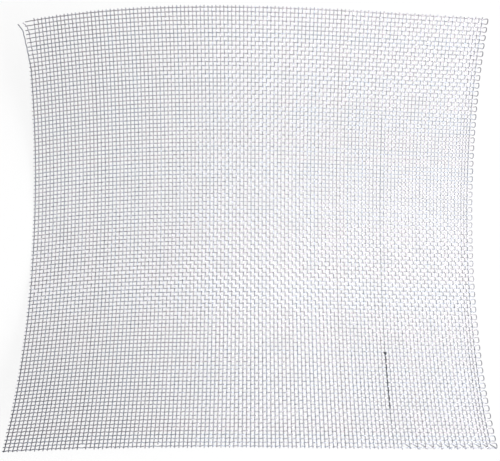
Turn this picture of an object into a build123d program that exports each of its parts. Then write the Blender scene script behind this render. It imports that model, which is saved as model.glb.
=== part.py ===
"""A square of woven wire gauze, curled as it came off the roll, lying on its belly.

Millimetres, +Z up. X runs along the weft wires and Y along the warp wires. The origin is
the middle of the sheet's footprint, on the surface that it lies on.
"""

import os
from math import cos, degrees, pi, sin

from build123d import *

os.makedirs("parts", exist_ok=True)

# The sheet as it was cut, measured along its wires.
sheet_width = 150.4
sheet_length = 148.5
wire_diameter = 0.32
cut_end = 0.6

# The weave. A strand is a flat band that stands for a few wires side by side.
wires_per_strand = 10
warp_strands = 13
weft_strands = 11
wire_bite = 0.06
crimp_ease = 0.8

# The bends: a curl along the warp and a shallow arch along the weft.
curl_radius = 107.6
arch_radius = 559.0

# How far the wires wander within the sheet by the time they reach its edges.
weft_bow = 2.2
weft_sway = 1.7
warp_bow = 1.0

# The outermost warp wire, frayed out of the weave at the top left corner.
fray_length = 14.5
fray_radius = 26.0

# How far an outline runs past the strand that it shapes.
overrun = 2.0

half_width = sheet_width / 2
half_length = sheet_length / 2

# A band this wide holds as much metal as the round wires that it stands for.
strand_width = wires_per_strand * wire_diameter * pi / 4
inset = strand_width / 2

# Crossing wires press into each other, which sets how far each stands off the middle.
crimp = (wire_diameter - wire_bite) / 2
level = inset + crimp_ease

reach = overrun + weft_bow + weft_sway + warp_bow


def spread(first, last, count):
    """Evenly spaced places from first to last."""
    return [first + (last - first) * step / (count - 1) for step in range(count)]


def weft_wander(along_weft):
    """How far a weft wire strays along the warp."""
    s = along_weft / half_width
    return weft_sway * s**3 - weft_bow * s**2


def warp_wander(along_warp):
    """How far a warp wire strays along the weft."""
    return -warp_bow * (along_warp / half_length) ** 2


def on_arch(along_weft):
    """Place, height and slope of the arch at a length along the weft."""
    turn = along_weft / arch_radius
    return arch_radius * sin(turn), -arch_radius * (1 - cos(turn)), -turn


def on_curl(along_warp):
    """Place, height and slope of the curl at a length along the warp."""
    turn = along_warp / curl_radius
    return curl_radius * sin(turn), curl_radius * (1 - cos(turn)), turn


def side_outline(bend, stations, base, across_slope):
    """The outline of a strand seen from its side, from stations of length and crimp."""
    top, bottom = [], []
    for length, lift in stations:
        place, height, slope = bend(length)
        for edge, face in ((top, wire_diameter / 2), (bottom, -wire_diameter / 2)):
            rise = (lift + face) / cos(across_slope)
            edge.append((place - rise * sin(slope), base + height + rise * cos(slope)))
    return top + bottom[::-1]


def strand(side_plane, side_points, across, plan_points):
    """A flat band, made of its outline from the side and its outline from above."""
    with BuildPart() as band:
        with BuildSketch(side_plane):
            with BuildLine():
                Polyline(*side_points, close=True)
            make_face()
        extrude(amount=inset + reach, dir=across, both=True)
        with BuildSketch(Plane.XY):
            with BuildLine():
                Polyline(*plan_points, close=True)
            make_face()
        extrude(amount=sheet_length, both=True, mode=Mode.INTERSECT)
    return band.part


def warp_strand(i):
    """A warp strand, over one weft strand and under the next."""
    along_weft = warp_places[i]
    place, base, slope = on_arch(along_weft)
    stray = weft_wander(along_weft)
    stations = []
    for j, crossing in enumerate(weft_places):
        lift = crimp if (i + j) % 2 else -crimp
        start = -half_length if j == 0 else crossing - level
        end = half_length if j == weft_strands - 1 else crossing + level
        stations += [(start + stray, lift), (end + stray, lift)]
    edge = inset * cos(slope)
    rows = spread(-half_length - reach, half_length + reach, weft_strands)
    left = [(place + warp_wander(row) - edge, on_curl(row)[0]) for row in rows]
    right = [(place + warp_wander(row) + edge, on_curl(row)[0]) for row in rows]
    side_plane = Plane((place, 0, 0), (0, 1, 0), (1, 0, 0))
    side_points = side_outline(on_curl, stations, base, slope)
    return strand(side_plane, side_points, (cos(slope), 0, sin(slope)), left + right[::-1])


def weft_strand(j):
    """A weft strand, under where the warp goes over."""
    along_warp = weft_places[j]
    place, base, slope = on_curl(along_warp)
    stray = warp_wander(along_warp)
    stations = []
    for i, crossing in enumerate(warp_places):
        lift = -crimp if (i + j) % 2 else crimp
        start = -half_width if i == 0 else crossing - level
        end = half_width if i == warp_strands - 1 else crossing + level
        stations += [(start + stray, lift), (end + stray, lift)]
    edge = inset * cos(slope)
    rows = spread(-half_width - reach, half_width + reach, warp_strands)
    near = [(on_arch(row)[0], place + weft_wander(row) * cos(slope) - edge) for row in rows]
    far = [(on_arch(row)[0], place + weft_wander(row) * cos(slope) + edge) for row in rows]
    side_plane = Plane((0, place, 0), (1, 0, 0), (0, -1, 0))
    side_points = side_outline(on_arch, stations, base, slope)
    return strand(side_plane, side_points, (0, cos(slope), sin(slope)), near + far[::-1])


# The left, top and bottom edges are cut, and at the right the weft turns back.
warp_places = spread(cut_end + inset - half_width, half_width - inset, warp_strands)
weft_places = spread(cut_end + inset - half_length, half_length - inset - cut_end, weft_strands)

with BuildPart() as weave:
    add([warp_strand(i) for i in range(warp_strands)])
    add([weft_strand(j) for j in range(weft_strands)])

    # The frayed wire leaves the outermost warp strand and swings out past the corner.
    fray_end = half_length + weft_wander(warp_places[0])
    place, base, _ = on_arch(warp_places[0])
    root, height, _ = on_curl(fray_end - fray_length)
    middle_slope = on_curl(fray_end - fray_length / 2)[2]
    foot = Vector(place + warp_wander(fray_end) - inset / 2, root, base + height)
    with BuildLine(Plane(foot, (1, 0, 0), (0, -sin(middle_slope), cos(middle_slope)))):
        fray = JernArc((0, 0), (0, 1), fray_radius, degrees(fray_length / fray_radius))
    with BuildSketch(Plane(fray @ 0, z_dir=fray % 0)):
        Circle(wire_diameter / 2)
    sweep(path=fray)

# The sheet is set down with its lowest wires on the surface, over the origin.
box = weave.part.bounding_box()
with BuildPart() as gauze:
    with Locations(-Vector(box.center().X, box.center().Y, box.min.Z)):
        add(weave.part)

gauze.part.label = "gauze"
export_step(gauze.part, "parts/gauze.step")
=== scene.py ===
import math

import bpy
from mathutils import Matrix, Vector

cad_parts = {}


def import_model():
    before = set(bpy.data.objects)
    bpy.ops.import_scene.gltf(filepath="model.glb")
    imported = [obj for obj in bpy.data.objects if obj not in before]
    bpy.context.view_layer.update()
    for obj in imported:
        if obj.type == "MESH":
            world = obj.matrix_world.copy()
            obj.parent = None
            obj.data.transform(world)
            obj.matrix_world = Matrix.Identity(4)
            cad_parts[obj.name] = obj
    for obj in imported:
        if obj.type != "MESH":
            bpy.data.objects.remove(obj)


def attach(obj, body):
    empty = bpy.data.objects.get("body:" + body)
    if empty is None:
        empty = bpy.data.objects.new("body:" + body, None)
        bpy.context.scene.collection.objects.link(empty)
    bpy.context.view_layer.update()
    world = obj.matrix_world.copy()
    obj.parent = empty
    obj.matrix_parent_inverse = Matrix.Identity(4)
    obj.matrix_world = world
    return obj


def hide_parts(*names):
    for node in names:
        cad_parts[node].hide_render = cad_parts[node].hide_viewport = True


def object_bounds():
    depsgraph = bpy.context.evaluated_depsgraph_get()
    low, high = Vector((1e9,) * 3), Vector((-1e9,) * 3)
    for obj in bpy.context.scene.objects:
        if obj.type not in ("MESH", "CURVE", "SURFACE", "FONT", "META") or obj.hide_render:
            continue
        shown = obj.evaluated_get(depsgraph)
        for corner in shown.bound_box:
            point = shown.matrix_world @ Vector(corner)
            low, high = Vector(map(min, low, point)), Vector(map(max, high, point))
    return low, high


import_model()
cadLow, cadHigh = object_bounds()
mm = 0.001  # wires, sheet and camera are given in millimetres, the room and its lamps in metres
quarterTurn = math.pi / 2


class Signal:
    # a node's output that takes part in plain Python sums
    def __init__(self, bench, socket):
        self.bench = bench
        self.socket = socket

    def math(self, operation, *others):
        return self.bench.math(operation, self, *others)

    def other(self, output):
        return Signal(self.bench, self.socket.node.outputs[output])

    def __add__(self, other):
        return self.math("ADD", other)

    def __sub__(self, other):
        return self.math("SUBTRACT", other)

    def __rsub__(self, other):
        return self.bench.math("SUBTRACT", other, self)

    def __mul__(self, other):
        return self.math("MULTIPLY", other)

    def __truediv__(self, other):
        return self.math("DIVIDE", other)

    def __rtruediv__(self, other):
        return self.bench.math("DIVIDE", other, self)

    def __neg__(self):
        return self * -1

    __radd__ = __add__
    __rmul__ = __mul__


class Bench:
    # a node tree, with one way to put any node into it
    def __init__(self, tree):
        self.tree = tree

    def add(self, kind, settings=None, values=None, output=0):
        node = self.tree.nodes.new(kind)
        for name, value in (settings or {}).items():
            setattr(node, name, value)
        for key, value in (values or {}).items():
            if isinstance(value, Signal):
                self.tree.links.new(value.socket, node.inputs[key])
            else:
                node.inputs[key].default_value = value
        return Signal(self, node.outputs[output] if node.outputs else None)

    def math(self, operation, *values):
        return self.add("ShaderNodeMath", {"operation": operation}, dict(enumerate(values)))

    def vector(self, x=0.0, y=0.0, z=0.0):
        return self.add("ShaderNodeCombineXYZ", None, {"X": x, "Y": y, "Z": z})

    def mixColour(self, factor, first, second):
        # a Mix node takes its two colours at inputs 6 and 7, and gives the mixed one at output 2
        return self.add("ShaderNodeMix", {"data_type": "RGBA"}, {"Factor": factor, 6: first, 7: second}, 2)


def newTree(name, inputs, outputKind="NodeSocketGeometry"):
    # an empty geometry tree with named inputs, and the signals that come from them
    tree = bpy.data.node_groups.new(name, "GeometryNodeTree")
    for label, value in inputs.items():
        kind = "NodeSocketInt" if isinstance(value, int) else "NodeSocketFloat"
        tree.interface.new_socket(label, in_out="INPUT", socket_type=kind).default_value = value
    tree.interface.new_socket("Result", in_out="OUTPUT", socket_type=outputKind)
    bench = Bench(tree)
    entry = tree.nodes.new("NodeGroupInput")
    return bench, {label: Signal(bench, entry.outputs[label]) for label in inputs}


def past(signal, start):
    # how far a signal has gone past a start, and 0 before it
    return (signal - start).math("MAXIMUM", 0)


def before(signal, end):
    # how far a signal still is from an end, and 0 after it
    return (end - signal).math("MAXIMUM", 0)


def among(wire, amounts):
    # the amount for a wire's number, and 0 for wires that are not named
    chosen = [(1 - (wire - number).math("ABSOLUTE").math("MINIMUM", 1)) * amount
              for number, amount in amounts.items()]
    return sum(chosen[1:], chosen[0])


def chance(bench, wire, seed):
    # a random amount from 0 to 1 for each wire
    return bench.add("ShaderNodeTexWhiteNoise", {"noise_dimensions": "1D"}, {"W": wire + seed}, "Value")


# The sheet: a curl along the warp, a shallow arch along the weft, and wires that wander within it.
sheet = {
    "curlRadius": 108.05,
    "archRadius": 559.0,
    "halfWidth": 75.2,
    "halfLength": 74.25,
    "topEdge": 74.5,  # how far the cut ends at the top reach from the middle
    "sideRest": 74.7,  # and where the sides touch the table
    "weftBow": 2.2,
    "weftSway": 1.7,
    "warpBow": 1.0,
    "warpFan": 0.72,  # the warp wires fan out at the sides, towards the top
    "fanWaist": 0.39,
    "fanRight": 0.29,  # more at the right than at the left
    "leftward": 0.26,
    "rightFlare": 0.8,  # both right corners are drawn out, and the bottom left one
    "leftFlare": 0.6,
    "flarePower": 9,  # how close to the corners the flare keeps
    "weftLean": 0.5,  # the weft wires crowd up towards the bottom left
    "weftCrowd": 0.31,
}

# The weave, with wire numbers counted from the left and from the top.
weave = {
    "wire": 0.32,
    "crimp": 0.15,  # how far a wire stands off the middle of the sheet where it crosses another
    "warpWires": 119,
    "weftWires": 112,
    "warpPitch": 1.25,
    "weftPitch": 1.319,
    "firstWarp": -74.42,  # place of the leftmost warp wire, from the middle of the sheet
    "firstWeft": 73.70,  # place of the top weft wire
    "openRows": 0.73,  # how much the top rows are spread
    "openDepth": 8.0,  # and over how many rows
    "tightWarps": 3,  # the last warp wires are set closer
    "tighter": 0.19,
    "turnReach": 1.45,  # how far the weft swings out where it turns back at the right
    "turnSlack": 0.15,  # further at the bottom than at the top
    "turnBulge": 0.27,  # how much the turn widens, in rows
    "turnRound": 0.5,  # and how round it is
    "drift": 0.09,  # how unevenly the wires lie, in wires
    "driftAcross": 0.83,
    "driftAlong": 0.045,
    "sides": 6,
    "stepsPerWire": 3,
    "seed": 0.0,
}

# What is added to the seed for each thing that is drawn at random.
draws = {
    "warpTone": 0.1,
    "topCut": 0.3,
    "weftTone": 0.5,
    "bottomCut": 0.6,
    "stub": 0.8,
    "warpDrift": 3.0,
    "weftDrift": 8.0,
}

lastWarp = weave["warpWires"] - 1
lastWeft = weave["weftWires"] - 1
wireRadius = weave["wire"] / 2
archDrop = sheet["archRadius"] * (1 - math.cos(sheet["sideRest"] / sheet["archRadius"]))
topTurn = sheet["topEdge"] / sheet["curlRadius"]
thickness = weave["crimp"] + wireRadius

# The middle of the sheet, in the frame: its right and top edges and its lowest wires meet the CAD's.
sheetMiddle = Vector((
    cadHigh.x - sheet["archRadius"] * math.sin(sheet["halfWidth"] / sheet["archRadius"]) * mm,
    cadHigh.y - (sheet["curlRadius"] + thickness) * math.sin(topTurn) * mm,
    cadLow.z + (archDrop + thickness) * mm,
))
print("sheet middle", [round(value / mm, 3) for value in sheetMiddle])


def buildSheetGroup():
    # a place along the weft and the warp, and a lift off the sheet, become a point in the frame
    bench, given = newTree("Onto Sheet", {
        "Along Weft": 0.0, "Along Warp": 0.0, "Lift": 0.0, "Curl Radius": sheet["curlRadius"],
        "Arch Radius": sheet["archRadius"]}, "NodeSocketVector")
    across = given["Along Weft"] / sheet["halfWidth"]
    up = given["Along Warp"] / sheet["halfLength"]
    low = before(up, 0)
    squared = across * across

    weftStray = squared * (across * sheet["weftSway"] - sheet["weftBow"])
    weftStray = weftStray + up * squared * (across * sheet["weftLean"] - sheet["weftCrowd"])
    weftStray = weftStray - across * up * up * sheet["weftCrowd"]

    rightmost = past(across, 0).math("POWER", sheet["flarePower"])
    leftmost = before(across, 0).math("POWER", sheet["flarePower"])
    flare = rightmost * up * up * sheet["rightFlare"] - leftmost * low * low * sheet["leftFlare"]
    fan = squared * (across * sheet["fanRight"] + 1) - sheet["fanWaist"]
    warpStray = flare + up * fan * sheet["warpFan"]
    warpStray = warpStray - up * up * sheet["warpBow"] - squared * sheet["leftward"]

    archRadius, curlRadius = given["Arch Radius"], given["Curl Radius"]
    arch = (given["Along Weft"] + warpStray) / archRadius
    curl = (given["Along Warp"] + weftStray) / curlRadius
    archSine, archCosine = arch.math("SINE"), arch.math("COSINE")
    curlSine, curlCosine = curl.math("SINE"), curl.math("COSINE")
    normalX = archSine * curlCosine
    normalLength = (normalX * normalX + archCosine * archCosine).math("SQRT")
    lift = given["Lift"] / normalLength
    height = (1 - curlCosine) * curlRadius - (1 - archCosine) * archRadius
    x = archSine * archRadius + lift * normalX
    y = curlSine * curlRadius - lift * archCosine * curlSine
    z = height + lift * archCosine * curlCosine
    point = bench.vector(x * mm + sheetMiddle.x, y * mm + sheetMiddle.y, z * mm + sheetMiddle.z)
    bench.add("NodeGroupOutput", None, {"Result": point})
    return bench.tree


def onSheet(bench, alongWeft, alongWarp, lift):
    # puts such a place on the sheet, in any of the trees
    return bench.add("GeometryNodeGroup", {"node_tree": sheetGroup}, {
        "Along Weft": alongWeft, "Along Warp": alongWarp, "Lift": lift,
        "Curl Radius": sheet["curlRadius"], "Arch Radius": sheet["archRadius"]})


def warpPlace(wire):
    # along the weft, from the number of a warp wire
    tight = past(wire, lastWarp - weave["tightWarps"])
    return wire * weave["warpPitch"] + weave["firstWarp"] - tight * weave["tighter"]


def weftPlace(row):
    # along the warp, from the number of a weft wire
    spread = (1 - (row / -weave["openDepth"]).math("EXPONENT")) * weave["openRows"]
    return weave["firstWeft"] - row * weave["weftPitch"] - spread


def driftOf(bench, wire, along, seed):
    # a slow seeded wander of one wire against its neighbours, to either side
    spot = bench.vector(wire * weave["driftAcross"], along * weave["driftAlong"], seed)
    noise = bench.add("ShaderNodeTexNoise", None, {"Vector": spot, "Scale": 1.0, "Detail": 1.0})
    return (noise - 0.5) * 2 * weave["drift"]


def layWires(bench, given):
    # straight wires side by side: X is the wire's number and Y its steps
    line = bench.add("GeometryNodeMeshLine", {"mode": "OFFSET"}, {
        "Count": given["Wires"], "Start Location": bench.vector(given["First Wire"]), "Offset": (1, 0, 0)})
    points = bench.add("GeometryNodeMeshToPoints", None, {"Mesh": line})
    wire = bench.add("GeometryNodeCurvePrimitiveLine", None, {
        "Start": bench.vector(y=given["From"]), "End": bench.vector(y=given["To"])})
    steps = (given["To"] - given["From"]) * weave["stepsPerWire"] + 1
    wire = bench.add("GeometryNodeResampleCurve", None, {"Curve": wire, "Count": steps.math("ROUND")})
    wires = bench.add("GeometryNodeInstanceOnPoints", None, {"Points": points, "Instance": wire})
    wires = bench.add("GeometryNodeRealizeInstances", None, {"Geometry": wires})
    place = bench.add("ShaderNodeSeparateXYZ", None, {"Vector": bench.add("GeometryNodeInputPosition")})
    return wires, place, place.other("Y")


def dressWires(bench, given, wires, position, tones, material):
    # bends the straight wires into the sheet, gives them their round section and hands them over
    for name, tone in tones.items():
        wires = bench.add("GeometryNodeStoreNamedAttribute", {"data_type": "FLOAT", "domain": "POINT"}, {
            "Geometry": wires, "Name": name, "Value": tone})
    wires = bench.add("GeometryNodeSetPosition", None, {"Geometry": wires, "Position": position})
    section = bench.add("GeometryNodeCurvePrimitiveCircle", None, {
        "Resolution": weave["sides"], "Radius": given["Wire Radius"] * mm})
    skin = bench.add("GeometryNodeCurveToMesh", None, {
        "Curve": wires, "Profile Curve": section, "Fill Caps": True})
    skin = bench.add("GeometryNodeSetShadeSmooth", None, {"Geometry": skin})
    skin = bench.add("GeometryNodeRealizeInstances", None, {"Geometry": skin})
    skin = bench.add("GeometryNodeSetMaterial", None, {"Geometry": skin, "Material": material})
    bench.add("NodeGroupOutput", None, {"Result": skin})


# What cutting, time and handling did to the wires, and where shade and highlights are painted on them.
damage = {
    "unevenTop": 0.15,  # how much the cut ends differ, in rows
    "unevenBottom": 0.25,
    "cutTop": 0.17,
    "cutBottom": 0.16,
    "stub": 0.36,  # how far the weft sticks out at the left, in wires
    "unevenStub": 0.2,
    "cutDepth": 8.0,  # over how many rows a short wire is drawn back
    "shortTop": {0: 0.7, 1: 0.5},
    "shortBottom": {18: 1.3, 36: 0.9},
    "leanFrom": {0: 11.5, 1: 10.5},  # the first two wires have come out of the weave at the top left
    "lean": {0: 0.13, 1: 0.085},
    "hookFrom": {0: 2.6, 1: 2.4},
    "hook": {0: 0.17, 1: 0.21},
    "bentFrom": 95.5,  # at the bottom right every second end is bent over
    "bentRow": 110.2,
    "bend": 1.15,
    "dull": {0: 0.18, 8: 0.08, 17: 0.14, 19: 0.09, 81: 0.18, 91: 0.12, 116: 0.12, 117: 0.13, 118: 0.27},
    "dullBelow": {93: 0.25},  # the broken wire is dull from this row down
    "dullRow": 25.5,
    "allDull": 0.18,  # the zinc is dull all over; a painted highlight takes part of this away on the weft wires at the bottom right
    "paintedHighlightFrom": (25, 35),  # wire and row where that painted highlight starts
    "paintedHighlightOver": (50, 60),
    "paintedHighlightGain": 2.0,
    "paintedHighlightMost": 0.8,
    "topPaintedHighlight": 0.13,  # painted highlight: the warp wires are brighter in the top rows
    "topRows": 16.0,
    "leftPaintedShade": 0.15,  # painted shade: the warp wires at the left are darker
    "turnPaintedShade": 0.5,  # painted shade: the turns at the right are darker
    "turnFade": 0.2,
}


def buildWarpTree(material):
    bench, given = newTree("Warp Wires", {
        "First Wire": 0, "Wires": 1, "From": 0.0, "To": 1.0,
        "Wire Radius": wireRadius, "Crimp": weave["crimp"], "Seed": weave["seed"],
        "Sideways": 0.0, "Raise": 0.0, "Tarnish": 0.0})
    wires, wire, step = layWires(bench, given)
    seed = given["Seed"]

    # the cut ends
    nearTop = (before(step, damage["cutDepth"]) / damage["cutDepth"]).math("MINIMUM", 1)
    nearBottom = (past(step, lastWeft - damage["cutDepth"]) / damage["cutDepth"]).math("MINIMUM", 1)
    cutTop = chance(bench, wire, seed + draws["topCut"]) * damage["unevenTop"]
    cutTop = cutTop + damage["cutTop"] + among(wire, damage["shortTop"])
    cutBottom = chance(bench, wire, seed + draws["bottomCut"]) * damage["unevenBottom"]
    cutBottom = cutBottom + damage["cutBottom"] + among(wire, damage["shortBottom"])
    row = step + cutTop * nearTop - cutBottom * nearBottom

    # the frayed wires at the top left, and the bent ends at the bottom right
    hook = before(row, among(wire, damage["hookFrom"]))
    lean = before(row, among(wire, damage["leanFrom"])) * among(wire, damage["lean"])
    lean = lean + hook * hook * among(wire, damage["hook"])
    second = (1 - wire.math("MODULO", 2)) * wire.math("GREATER_THAN", damage["bentFrom"])
    bent = past(row, damage["bentRow"]) * damage["bend"] * second

    drift = driftOf(bench, wire, row, seed + draws["warpDrift"])
    alongWeft = warpPlace(wire) + (drift + bent - lean) * weave["warpPitch"] + given["Sideways"]
    lift = given["Raise"] - ((wire + row) * math.pi).math("COSINE") * given["Crimp"]
    position = onSheet(bench, alongWeft, weftPlace(row), lift)

    # painted shade: the warp wires darken towards the left
    leftShare = before(wire, lastWarp / 2) / (lastWarp / 2)
    topShare = before(row, damage["topRows"]) / damage["topRows"]
    dull = among(wire, damage["dull"]) + leftShare * damage["leftPaintedShade"]
    dull = dull + among(wire, damage["dullBelow"]) * past(row, damage["dullRow"]).math("MINIMUM", 1)
    # painted highlight: the top rows are lighter
    dull = dull + damage["allDull"] - topShare * damage["topPaintedHighlight"]
    tones = {"wireTone": chance(bench, wire, seed + draws["warpTone"]), "tarnishAndShade": given["Tarnish"] + dull}
    dressWires(bench, given, wires, position, tones, material)
    return bench.tree


def buildWeftTree(material):
    # two neighbouring weft wires are one, which turns back past the last warp wire at the right
    bench, given = newTree("Weft Wires", {
        "First Wire": 0, "Wires": 1, "From": 0.0, "To": 1.0,
        "Wire Radius": wireRadius, "Crimp": weave["crimp"], "Seed": weave["seed"],
        "Turn Start": 1.0, "Turn Lead": 1.0})
    wires, pair, step = layWires(bench, given)
    seed = given["Seed"]
    away = step.math("ABSOLUTE")
    side = step.math("SIGN")  # the upper leg is before the turn, the lower one after it
    stub = chance(bench, pair * 2 + side, seed + draws["stub"]) * damage["unevenStub"] + damage["stub"]
    wire = lastWarp + given["Turn Lead"] - past(away, given["Turn Start"])
    wire = wire.math("MAXIMUM", -stub)

    # the legs lie half a row to each side of the pair's middle
    angle = (away / given["Turn Start"]).math("MINIMUM", 1) * quarterTurn
    bulge = (angle * 2).math("SINE") * weave["turnBulge"]
    row = pair * 2 + 0.5 + side * (angle.math("SINE") * 0.5 + bulge)
    lower = row / lastWeft
    reach = lower * lower * weave["turnSlack"] + weave["turnReach"]
    swung = angle.math("COSINE").math("MAXIMUM", 0).math("POWER", weave["turnRound"])

    # the crimp fades through the turn, from one leg's side of the sheet to the other's
    outside = given["Turn Start"] + given["Turn Lead"]
    swing = ((step / outside).math("MINIMUM", 1).math("MAXIMUM", -1) * quarterTurn).math("SINE")
    lift = -swing * (past(away, outside) * math.pi).math("COSINE") * given["Crimp"]
    drift = driftOf(bench, pair * 2 + side * 0.5, wire, seed + draws["weftDrift"]) * weave["weftPitch"]
    position = onSheet(bench, warpPlace(wire) + swung * reach, weftPlace(row) + drift, lift)

    # painted shade on the turns at the right
    turned = before(away, outside + damage["turnFade"]).math("MINIMUM", 1)
    fromWire, fromRow = damage["paintedHighlightFrom"]
    overWires, overRows = damage["paintedHighlightOver"]
    # painted highlight on the weft wires at the bottom right, which takes away part of their dullness
    paintedHighlight = past(wire, fromWire) / overWires * past(row, fromRow) / overRows * damage["paintedHighlightGain"]
    paintedHighlight = paintedHighlight.math("MINIMUM", damage["paintedHighlightMost"])
    tarnishAndShade = turned * damage["turnPaintedShade"] + (1 - paintedHighlight) * damage["allDull"]
    tones = {"wireTone": chance(bench, pair, seed + draws["weftTone"]), "tarnishAndShade": tarnishAndShade}
    dressWires(bench, given, wires, position, tones, material)
    return bench.tree


# A length of dark wire laid over a broken warp wire, its top end wound round it.
mend = {
    "wire": 93,
    "from": 86.5,
    "to": 101.2,
    "raise": 0.24,
    "sideways": 0.06,
    "tarnishAndShade": 1.0,
    "turns": 1.6,
    "coilRadius": 0.33,
    "coilLength": 0.5,
    "coilSteps": 24,
}


def buildKnotTree(material):
    bench, given = newTree("Knot", {
        "Wire": 0.0, "Row": 0.0, "Turns": 1.0, "Coil Radius": mend["coilRadius"],
        "Coil Length": mend["coilLength"], "Wire Radius": wireRadius, "Tarnish": 0.0})
    coil = bench.add("GeometryNodeCurveSpiral", None, {
        "Resolution": mend["coilSteps"], "Rotations": given["Turns"], "Start Radius": given["Coil Radius"],
        "End Radius": given["Coil Radius"], "Height": given["Coil Length"]})
    place = bench.add("ShaderNodeSeparateXYZ", None, {"Vector": bench.add("GeometryNodeInputPosition")})
    alongWeft = warpPlace(given["Wire"]) + place
    alongWarp = weftPlace(given["Row"]) + place.other("Z")
    position = onSheet(bench, alongWeft, alongWarp, place.other("Y") + mend["raise"] / 2)
    dressWires(bench, given, coil, position, {"tarnishAndShade": given["Tarnish"]}, material)
    return bench.tree


# Zinc-grey drawn wire, a little different from wire to wire and mottled along each, with painted shade and
# highlights mixed in through its tarnish.
look = {
    "cool": (0.72, 0.79, 0.91, 1),
    "warm": (0.88, 0.80, 0.85, 1),
    "dull": (0.46, 0.47, 0.52, 1),
    "dark": (0.022, 0.022, 0.04, 1),
    "mottle": 900.0,
    "mottleDetail": 3.0,
    "mottleTint": 1.6,  # how much the tint changes along a wire
    "wireTint": 0.6,  # and from wire to wire
    "leastWarm": 0.2,
    "blotch": 150.0,
    "blotchDetail": 2.0,
    "soilFrom": 0.56,  # soiled where the blotches pass this
    "soilGain": 4.0,
    "soilMost": 0.2,
    "paintedShadeSpan": (-0.15, 0.07),  # in metres: painted shade, darker towards the left, and most in its corners
    "paintedShadeRight": 0.75,  # how far to the right that reaches
    "paintedShadeMiddle": 0.15,
    "paintedShadeEdge": 0.17,
    "roughLow": 0.15,
    "roughHigh": 0.25,
    "roughSoiled": 0.2,  # rougher where it is soiled or tarnished, and where shade is painted
    "grain": 0.04,
    "grainDepth": 0.02,
}


def buildWireMaterial():
    material = bpy.data.materials.new("galvanised_wire")
    material.use_nodes = True
    material.node_tree.nodes.clear()
    bench = Bench(material.node_tree)
    place = bench.add("ShaderNodeTexCoord", None, None, "Object")
    tone = bench.add("ShaderNodeAttribute", {"attribute_name": "wireTone"}, None, "Fac")
    # this attribute holds the wires' tarnish and the dark mended wire, and also the painted shade and
    # highlights
    tarnishAndShade = bench.add("ShaderNodeAttribute", {"attribute_name": "tarnishAndShade"}, None, "Fac")
    mottle = bench.add("ShaderNodeTexNoise", None, {
        "Vector": place, "Scale": look["mottle"], "Detail": look["mottleDetail"]})
    blotch = bench.add("ShaderNodeTexNoise", None, {
        "Vector": place, "Scale": look["blotch"], "Detail": look["blotchDetail"]})

    warmth = (mottle - 0.5) * look["mottleTint"] + tone * look["wireTint"] + look["leastWarm"]
    soil = (past(blotch, look["soilFrom"]) * look["soilGain"]).math("MINIMUM", look["soilMost"])
    colour = bench.mixColour(soil, bench.mixColour(warmth, look["cool"], look["warm"]), look["dull"])

    # painted shade: darker towards the left of the sheet, and most in its left corners
    spot = bench.add("ShaderNodeSeparateXYZ", None, {"Vector": place})
    leftward, edgeward = look["paintedShadeSpan"]
    left = (spot / leftward + look["paintedShadeRight"]).math("MAXIMUM", 0)
    edge = spot.other("Y") / edgeward
    paintedShade = left * (edge * edge * look["paintedShadeEdge"] + look["paintedShadeMiddle"])
    tarnishAndShade = (tarnishAndShade + paintedShade).math("MINIMUM", 1)
    colour = bench.mixColour(tarnishAndShade, colour, look["dark"])

    rough = mottle * (look["roughHigh"] - look["roughLow"]) + look["roughLow"]
    rough = rough + (soil + tarnishAndShade) * look["roughSoiled"]
    grain = bench.add("ShaderNodeBump", None, {
        "Height": mottle, "Strength": look["grain"], "Distance": look["grainDepth"] * mm})
    surface = bench.add("ShaderNodeBsdfPrincipled", None, {
        "Base Color": colour, "Metallic": 1.0, "Roughness": rough, "Normal": grain})
    bench.add("ShaderNodeOutputMaterial", None, {"Surface": surface})
    return material


def makePiece(name, tree, values):
    # runs the tree on an empty mesh, keeps the plain mesh that it makes, and ties it to the frame
    maker = bpy.data.objects.new(name + "Maker", bpy.data.meshes.new(name + "Start"))
    bpy.context.scene.collection.objects.link(maker)
    modifier = maker.modifiers.new("wires", "NODES")
    modifier.node_group = tree
    for item in tree.interface.items_tree:
        if item.in_out == "INPUT" and item.name in values:
            modifier[item.identifier] = values[item.name]
    depsgraph = bpy.context.evaluated_depsgraph_get()
    mesh = bpy.data.meshes.new_from_object(maker.evaluated_get(depsgraph))
    bpy.data.objects.remove(maker)
    piece = bpy.data.objects.new(name, mesh)
    bpy.context.scene.collection.objects.link(piece)
    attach(piece, "root")
    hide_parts("gauze")
    mesh.calc_loop_triangles()
    print(name, len(mesh.loop_triangles), "triangles")


# Which wires each piece holds, from the first to the last, and how many steps their ends and turns take.
layout = {
    "warps": {"warpLeft": (0, 39), "warpMiddle": (40, 79), "warpRight": (80, 118)},
    "weftPairs": {"weftTop": (0, 18), "weftMiddle": (19, 37), "weftBottom": (38, 55)},
    "endSteps": 2,  # from the last wire that a wire crosses to its cut end
    "turnSteps": 3,  # from the middle of a turn to its end
    "leadSteps": 1,  # from there to the last warp wire
}

wireMaterial = buildWireMaterial()
sheetGroup = buildSheetGroup()
warpTree = buildWarpTree(wireMaterial)
weftTree = buildWeftTree(wireMaterial)
knotTree = buildKnotTree(wireMaterial)
print("the wire's finish and the trees for its weave are ready")

stepLength = 1 / weave["stepsPerWire"]  # in wires, as the ends and turns below are
cutEnd = layout["endSteps"] * stepLength
turn = {"Turn Start": layout["turnSteps"] * stepLength, "Turn Lead": layout["leadSteps"] * stepLength}
sizes = {"Wire Radius": wireRadius, "Crimp": weave["crimp"], "Seed": weave["seed"]}

warpEnds = {"From": -cutEnd, "To": lastWeft + cutEnd}
for name, (first, last) in layout["warps"].items():
    makePiece(name, warpTree, {"First Wire": first, "Wires": last - first + 1, **warpEnds, **sizes})

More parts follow.
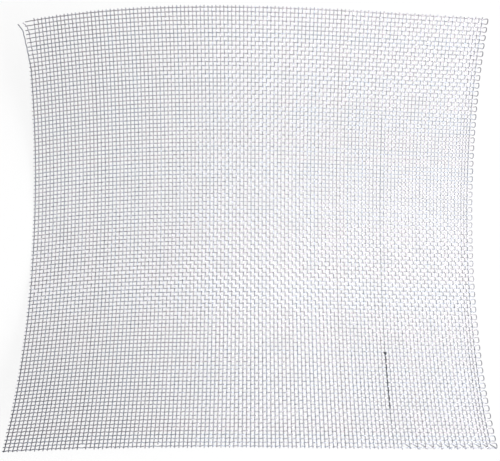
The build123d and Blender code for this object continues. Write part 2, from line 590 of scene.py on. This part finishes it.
weftReach = lastWarp + turn["Turn Start"] + turn["Turn Lead"] + cutEnd  # from the middle of the turn
weftEnds = {"From": -weftReach, "To": weftReach}
for name, (first, last) in layout["weftPairs"].items():
    makePiece(name, weftTree, {"First Wire": first, "Wires": last - first + 1, **weftEnds, **turn, **sizes})

makePiece("splice", warpTree, {
    "First Wire": mend["wire"], "Wires": 1, "From": mend["from"], "To": mend["to"], **sizes,
    "Sideways": mend["sideways"], "Raise": mend["raise"], "Tarnish": mend["tarnishAndShade"]})
makePiece("spliceKnot", knotTree, {
    "Wire": float(mend["wire"]), "Row": mend["from"], "Turns": mend["turns"], "Wire Radius": wireRadius,
    "Coil Radius": mend["coilRadius"], "Coil Length": mend["coilLength"], "Tarnish": mend["tarnishAndShade"]})


# The camera looks down on the sheet, turned a little off its middle.
view = {
    "focal": 927.83,  # in pixels of the picture
    "pictureWidth": 500,
    "sensor": 36.0,
    "nearest": 0.01,
    "height": 309.36,
    "aside": (2.265, 0.014),
    "turns": (-7.322, 2.177, -0.645),
}


def placeCamera():
    lens = bpy.data.cameras.new("camera")
    lens.sensor_fit = "HORIZONTAL"
    lens.sensor_width = view["sensor"]
    lens.lens = view["sensor"] * view["focal"] / view["pictureWidth"]
    lens.clip_start = view["nearest"]
    turnX, turnY, turnZ = (math.radians(value) for value in view["turns"])
    seen = Matrix.Rotation(turnZ, 3, "Z") @ Matrix.Rotation(turnY, 3, "Y") @ Matrix.Rotation(turnX, 3, "X")
    facing = seen.transposed()
    asideX, asideY = view["aside"]
    camera = bpy.data.objects.new("camera", lens)
    camera.matrix_world = facing.to_4x4()
    camera.location = sheetMiddle + facing @ Vector((-asideX, -asideY, view["height"])) * mm
    bpy.context.scene.collection.objects.link(camera)
    bpy.context.scene.camera = camera


# A white table, a pale room with a darker ceiling, and three soft lamps, in metres.
studio = {
    "tableSize": 4.0,
    "tableColour": (0.95, 0.95, 0.95, 1),
    "white": (1, 1, 1, 1),
    "glowLeft": 0.75,  # how little of a shadow the table shows at the left
    "glowRight": 0.96,  # and at the right
    "glowWidth": 0.15,
    "ceiling": 0.08,
    "walls": 0.95,
    "wallsRise": 0.85,
    # place from the middle of the sheet, width across, length along the warp, and power of each lamp
    "lamps": {
        "window": ((0.262, -0.03, 0.43), 0.18, 0.75, 1.95),
        "softbox": ((-0.055, -0.05, 0.48), 0.34, 0.10, 0.86),
        "strip": ((0.44, -0.05, 0.222), 0.30, 0.10, 0.7),
    },
}


def buildTable():
    half = studio["tableSize"] / 2
    corners = [(-half, -half, 0), (half, -half, 0), (half, half, 0), (-half, half, 0)]
    mesh = bpy.data.meshes.new("table")
    mesh.from_pydata(corners, [], [(0, 1, 2, 3)])
    table = bpy.data.objects.new("table", mesh)
    bpy.context.scene.collection.objects.link(table)

    # lit by the lamps, but nearly white where the camera or the wires see it
    material = bpy.data.materials.new("table_white")
    material.use_nodes = True
    material.node_tree.nodes.clear()
    bench = Bench(material.node_tree)
    path = bench.add("ShaderNodeLightPath", None, None, "Is Camera Ray")
    seen = path.math("MAXIMUM", path.other("Is Glossy Ray"))
    seen = seen.math("MAXIMUM", path.other("Is Transmission Ray"))
    place = bench.add("ShaderNodeSeparateXYZ", None, {
        "Vector": bench.add("ShaderNodeTexCoord", None, None, "Object")})
    rightward = (place / studio["glowWidth"] + 0.5).math("MAXIMUM", 0).math("MINIMUM", 1)
    share = rightward * (studio["glowRight"] - studio["glowLeft"]) + studio["glowLeft"]
    lit = bench.add("ShaderNodeBsdfDiffuse", None, {"Color": studio["tableColour"]})
    glow = bench.add("ShaderNodeEmission", None, {"Color": studio["white"], "Strength": 1.0})
    both = bench.add("ShaderNodeMixShader", None, {"Fac": seen * share, 1: lit, 2: glow})
    bench.add("ShaderNodeOutputMaterial", None, {"Surface": both})
    mesh.materials.append(material)


def lightRoom():
    # the walls at the two ends of the warp are pale, and fade up into the ceiling
    world = bpy.data.worlds.new("room")
    bpy.context.scene.world = world
    world.use_nodes = True
    world.node_tree.nodes.clear()
    bench = Bench(world.node_tree)
    way = bench.add("ShaderNodeSeparateXYZ", None, {
        "Vector": bench.add("ShaderNodeTexCoord", None, None, "Generated")})
    rise = (1 - way.other("Z").math("MAXIMUM", 0)).math("POWER", studio["wallsRise"])
    light = rise * way.other("Y").math("ABSOLUTE") * studio["walls"] + studio["ceiling"]
    room = bench.add("ShaderNodeBackground", None, {"Color": studio["white"], "Strength": light})
    bench.add("ShaderNodeOutputWorld", None, {"Surface": room})

    for name, (place, width, depth, power) in studio["lamps"].items():
        lamp = bpy.data.lights.new(name, "AREA")
        lamp.shape = "RECTANGLE"
        lamp.size = width
        lamp.size_y = depth
        lamp.energy = power
        holder = bpy.data.objects.new(name, lamp)
        holder.location = sheetMiddle + Vector(place)
        x, y, z = place
        holder.rotation_euler = (math.atan2(-y, math.hypot(x, z)), math.atan2(x, z), 0)  # faces the sheet
        holder.visible_camera = False
        bpy.context.scene.collection.objects.link(holder)


placeCamera()
buildTable()
lightRoom()
bpy.context.scene.view_settings.view_transform = "Standard"
print("camera, table and lamps are in place")
